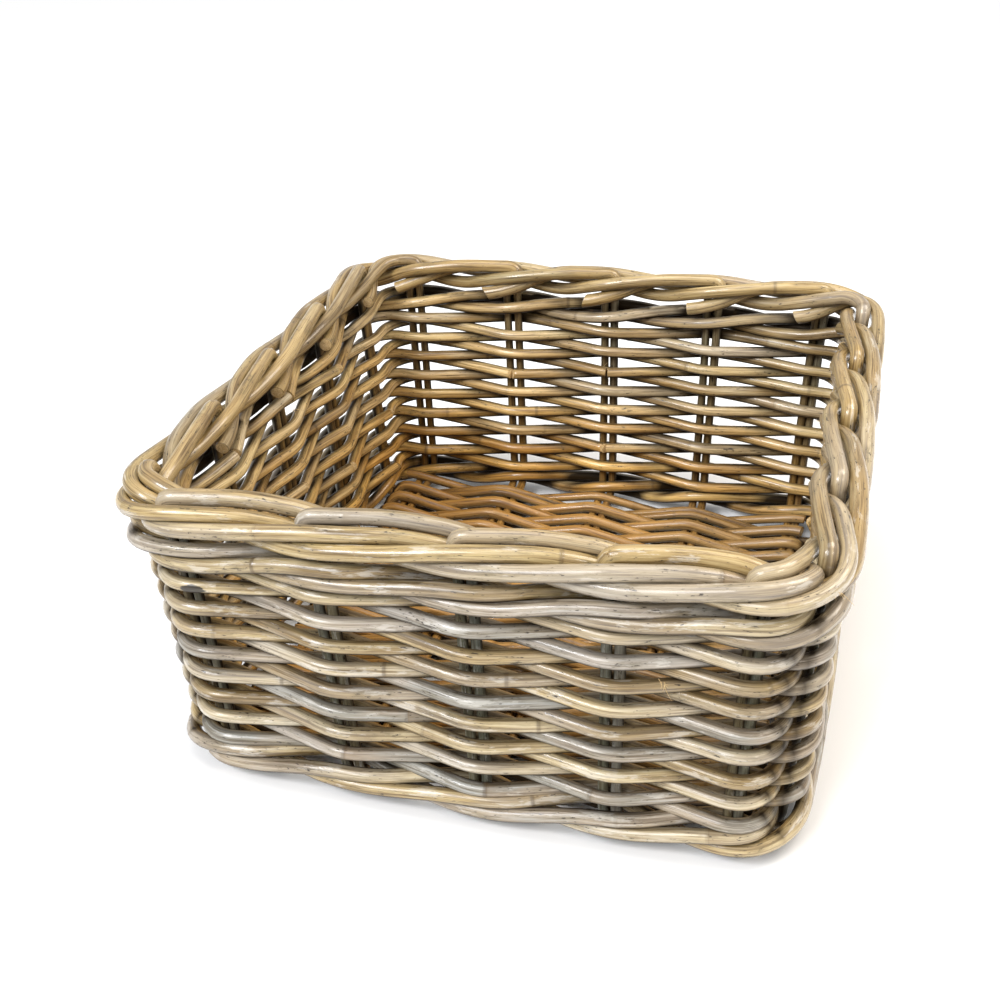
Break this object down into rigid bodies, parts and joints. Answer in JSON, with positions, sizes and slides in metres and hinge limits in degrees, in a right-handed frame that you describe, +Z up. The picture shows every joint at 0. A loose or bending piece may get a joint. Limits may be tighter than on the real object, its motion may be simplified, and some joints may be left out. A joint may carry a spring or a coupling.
{
  "type": "square rattan basket",
  "caption": "Open square storage basket of woven rattan with slightly flared walls, a woven floor and a thick rolled border.",
  "frame": {"origin": "under the middle of the basket, on the surface that it stands on", "axes": "+Z up; -Y towards the front wall; +X to the right, along the floor weavers"},
  "size_m": [0.3888, 0.3888, 0.1914],
  "materials": {
    "stake_cane": "lacquered cane, dark grey-green",
    "weaver_cane": "lacquered cane, weathered grey and tan",
    "wale_cane": "lacquered cane, weathered grey and tan",
    "floor_cane": "lacquered cane, golden brown",
    "border_cane": "lacquered thick cane, grey-beige"
  },
  "bodies": {
    "root": {"cross_stake_1": "stake_cane", "cross_stake_2": "stake_cane", "cross_stake_3": "stake_cane", "cross_stake_4": "stake_cane", "cross_stake_5": "stake_cane", "cross_stake_6": "stake_cane", "cross_stake_7": "stake_cane", "cross_stake_8": "stake_cane", "cross_stake_9": "stake_cane", "cross_stake_10": "stake_cane", "side_stake_1": "stake_cane", "side_stake_2": "stake_cane", "side_stake_3": "stake_cane", "side_stake_4": "stake_cane", "side_stake_5": "stake_cane", "side_stake_6": "stake_cane", "side_stake_7": "stake_cane", "side_stake_8": "stake_cane", "side_stake_9": "stake_cane", "side_stake_10": "stake_cane", "floor_weaver_1": "floor_cane", "floor_weaver_2": "floor_cane", "floor_weaver_3": "floor_cane", "floor_weaver_4": "floor_cane", "lower_wale_rod_1": "wale_cane", "lower_wale_rod_2": "wale_cane", "lower_wale_rod_3": "wale_cane", "wall_weaver_a1": "weaver_cane", "wall_weaver_a2": "weaver_cane", "wall_weaver_a3": "weaver_cane", "wall_weaver_a4": "weaver_cane", "wall_weaver_b1": "weaver_cane", "wall_weaver_b2": "weaver_cane", "wall_weaver_b3": "weaver_cane", "wall_weaver_b4": "weaver_cane", "top_wale_rod_1": "wale_cane", "top_wale_rod_2": "wale_cane", "top_wale_rod_3": "wale_cane", "border_rod_1": "border_cane", "border_rod_2": "border_cane", "border_rod_3": "border_cane", "border_rod_4": "border_cane", "border_rod_5": "border_cane", "border_rod_6": "border_cane", "border_rod_7": "border_cane", "border_rod_8": "border_cane", "border_rod_9": "border_cane", "border_rod_10": "border_cane", "border_rod_11": "border_cane", "border_rod_12": "border_cane", "border_rod_13": "border_cane", "border_rod_14": "border_cane", "border_rod_15": "border_cane", "border_rod_16": "border_cane", "border_rod_17": "border_cane", "border_rod_18": "border_cane", "border_rod_19": "border_cane", "border_rod_20": "border_cane"}
  },
  "joints": []
}
